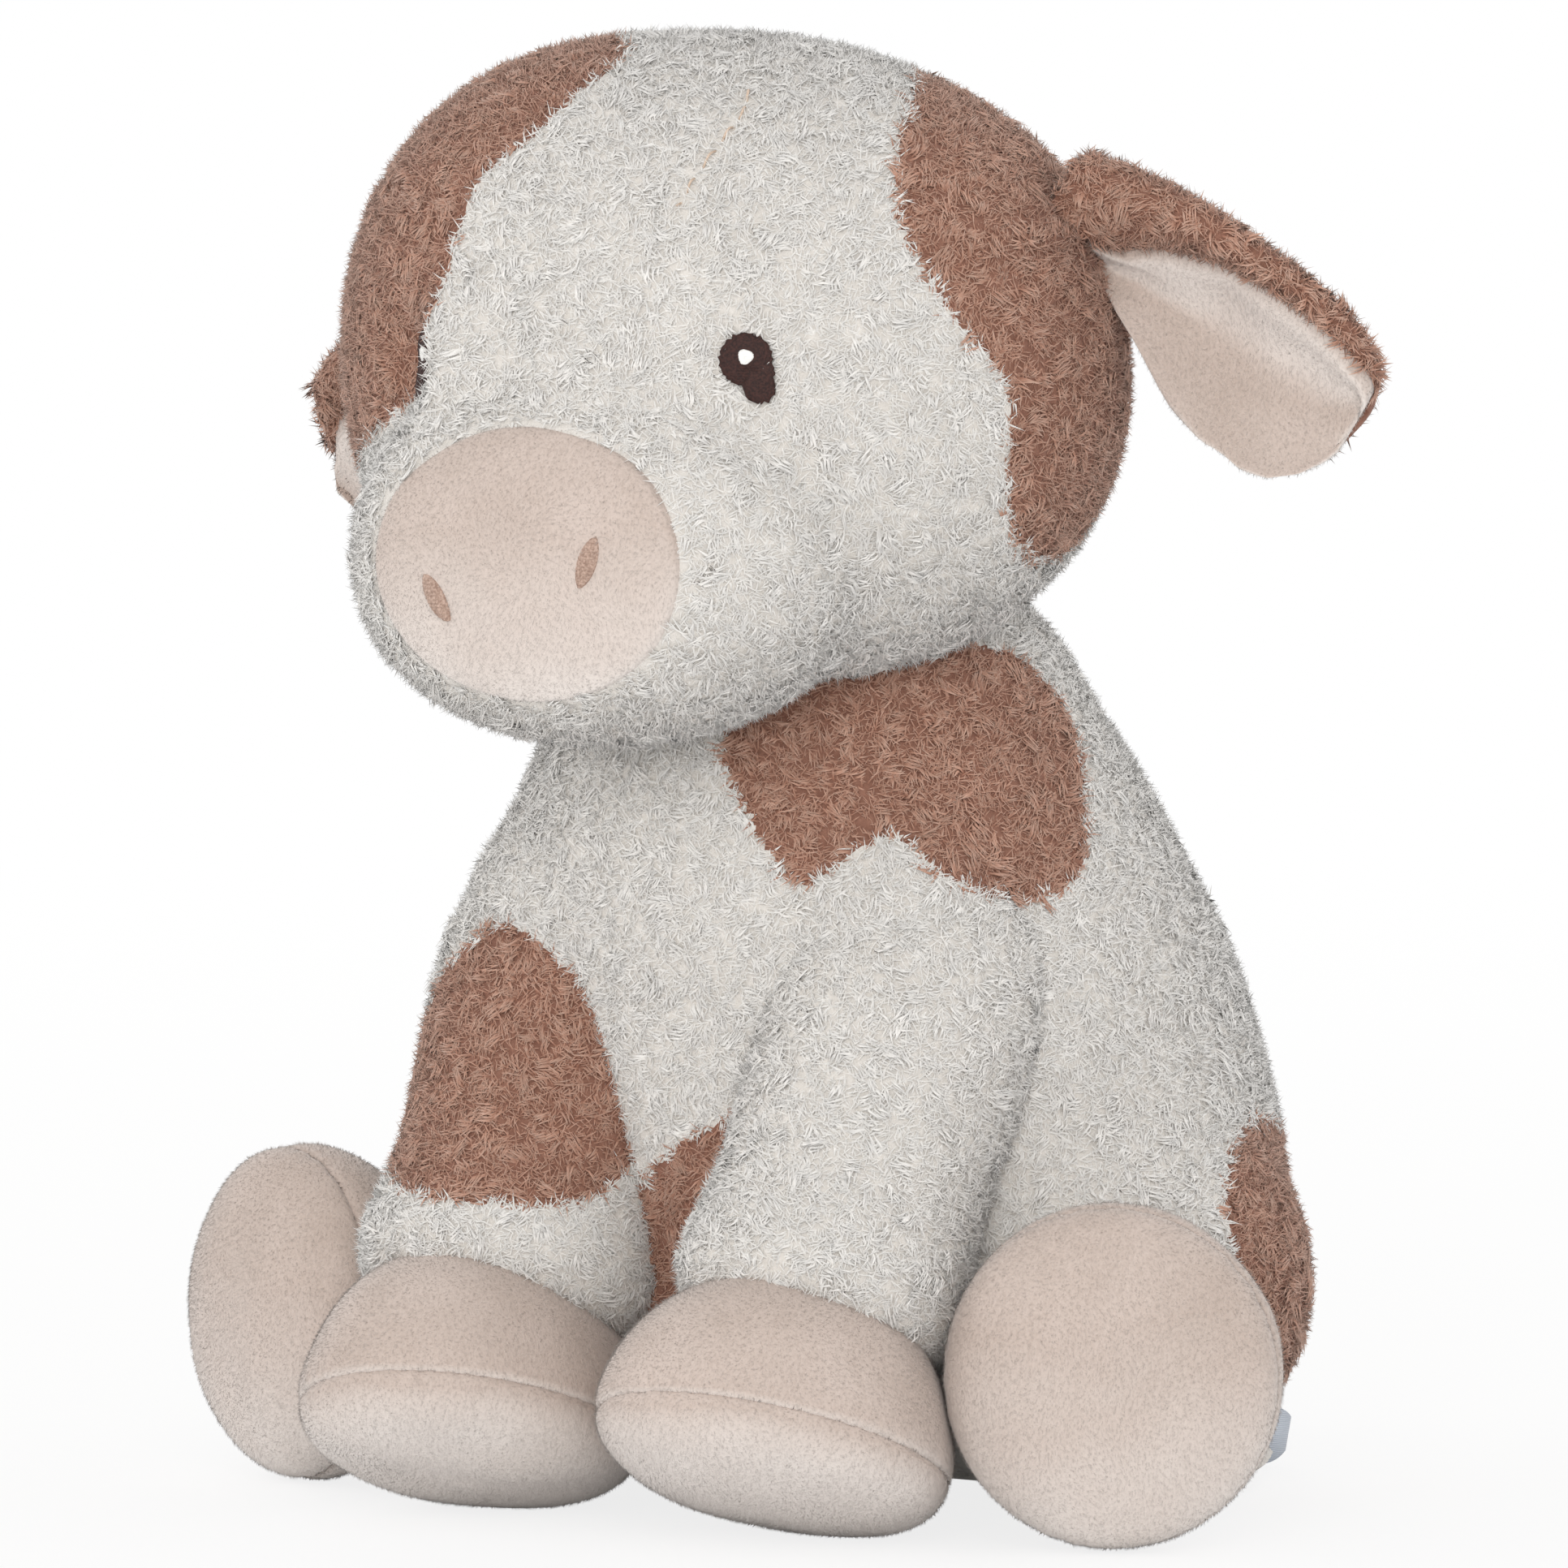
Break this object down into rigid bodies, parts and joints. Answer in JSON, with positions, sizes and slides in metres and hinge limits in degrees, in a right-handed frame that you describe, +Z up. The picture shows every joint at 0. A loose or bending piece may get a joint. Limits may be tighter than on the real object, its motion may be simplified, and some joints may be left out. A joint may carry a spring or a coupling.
{
  "type": "plush cow",
  "caption": "Seated plush cow in curly pile with brown patches, a big turning head, drooping cupped ears, plump velboa hooves and a hanging tail; a soft toy that sits on its flat base",
  "frame": {"origin": "middle of the footprint, on the surface the cow sits on", "axes": "+Z up, the cow faces -Y, and its own left side is +X"},
  "size_m": [0.2912, 0.2582, 0.3239],
  "materials": {
    "pile_white": "curly polyester pile",
    "pile_brown": "curly polyester pile with paler tips",
    "velboa_beige": "short brushed velboa",
    "thread_dark": "satin-stitched rayon thread",
    "thread_white": "satin-stitched rayon thread",
    "thread_rose": "satin-stitched rayon thread",
    "satin_blue": "woven satin ribbon",
    "filling": "loose polyester fibre",
    "lining_cloth": "plain woven lining round plastic pellets"
  },
  "bodies": {
    "torso": {"body_skin": "pile_white", "shoulder_patch": "pile_brown", "hip_patch_left": "pile_brown", "belly_patch": "pile_brown", "pellet_bag": "lining_cloth", "body_filling": "filling", "care_label": "satin_blue"},
    "neck": {"neck_filling": "filling"},
    "head": {"head_skin": "pile_white", "head_patch_left": "pile_brown", "head_patch_right": "pile_brown", "muzzle_panel": "velboa_beige", "head_filling": "filling", "eye_left": "thread_dark", "eye_highlight_left": "thread_white", "nostril_left": "thread_rose", "eye_right": "thread_dark", "eye_highlight_right": "thread_white", "nostril_right": "thread_rose"},
    "ear_left": {"ear_left_back": "pile_brown", "ear_left_lining": "velboa_beige"},
    "front_leg_left": {"front_leg_left_skin": "pile_white", "hoof_upper_left": "velboa_beige", "hoof_sole_left": "velboa_beige", "front_leg_left_filling": "filling"},
    "hind_leg_left": {"hind_leg_left_skin": "pile_white", "foot_upper_left": "velboa_beige", "foot_sole_left": "velboa_beige", "hind_leg_left_filling": "filling"},
    "ear_right": {"ear_right_back": "pile_brown", "ear_right_lining": "velboa_beige"},
    "front_leg_right": {"front_leg_right_skin": "pile_white", "knee_patch": "pile_brown", "hoof_upper_right": "velboa_beige", "hoof_sole_right": "velboa_beige", "front_leg_right_filling": "filling"},
    "hind_leg_right": {"hind_leg_right_skin": "pile_white", "foot_upper_right": "velboa_beige", "foot_sole_right": "velboa_beige", "hind_leg_right_filling": "filling"},
    "tail": {"tail": "pile_white", "tail_tuft": "pile_brown"}
  },
  "joints": [
    {"name": "neck_turn", "type": "hinge", "parent": "torso", "child": "neck", "pos_m": [-0.00196, -0.00546, 0.2], "axis": [0, 0, 1], "range_deg": [-15, 15], "stiffness_Nm_per_rad": 2},
    {"name": "neck_nod", "type": "hinge", "parent": "neck", "child": "head", "pos_m": [-0.00196, -0.00546, 0.2], "axis": [1, 0, 0], "range_deg": [-8, 8], "stiffness_Nm_per_rad": 5},
    {"name": "ear_left_flop", "type": "hinge", "parent": "head", "child": "ear_left", "pos_m": [0.07612, -0.03246, 0.28683], "axis": [0, -1, 0], "range_deg": [-12, 12], "stiffness_Nm_per_rad": 0.4},
    {"name": "ear_right_flop", "type": "hinge", "parent": "head", "child": "ear_right", "pos_m": [-0.08603, -0.03246, 0.2679], "axis": [0, 1, 0], "range_deg": [-12, 12], "stiffness_Nm_per_rad": 0.4},
    {"name": "front_leg_left_lift", "type": "hinge", "parent": "torso", "child": "front_leg_left", "pos_m": [0.04204, -0.03346, 0.126], "axis": [-1, 0, 0], "range_deg": [0, 20], "stiffness_Nm_per_rad": 1.5},
    {"name": "front_leg_right_lift", "type": "hinge", "parent": "torso", "child": "front_leg_right", "pos_m": [-0.04596, -0.03346, 0.126], "axis": [-1, 0, 0], "range_deg": [0, 20], "stiffness_Nm_per_rad": 1.5},
    {"name": "hind_leg_left_lift", "type": "hinge", "parent": "torso", "child": "hind_leg_left", "pos_m": [0.05804, 0.01254, 0.042], "axis": [-0.8988, -0.4384, 0], "range_deg": [0, 12], "stiffness_Nm_per_rad": 1.5},
    {"name": "hind_leg_right_lift", "type": "hinge", "parent": "torso", "child": "hind_leg_right", "pos_m": [-0.06196, 0.01254, 0.042], "axis": [-0.8988, 0.4384, 0], "range_deg": [0, 12], "stiffness_Nm_per_rad": 1.5},
    {"name": "tail_swing", "type": "hinge", "parent": "torso", "child": "tail", "pos_m": [-0.00196, 0.09654, 0.06], "axis": [0, 1, 0], "range_deg": [-20, 20], "stiffness_Nm_per_rad": 0.05}
  ]
}
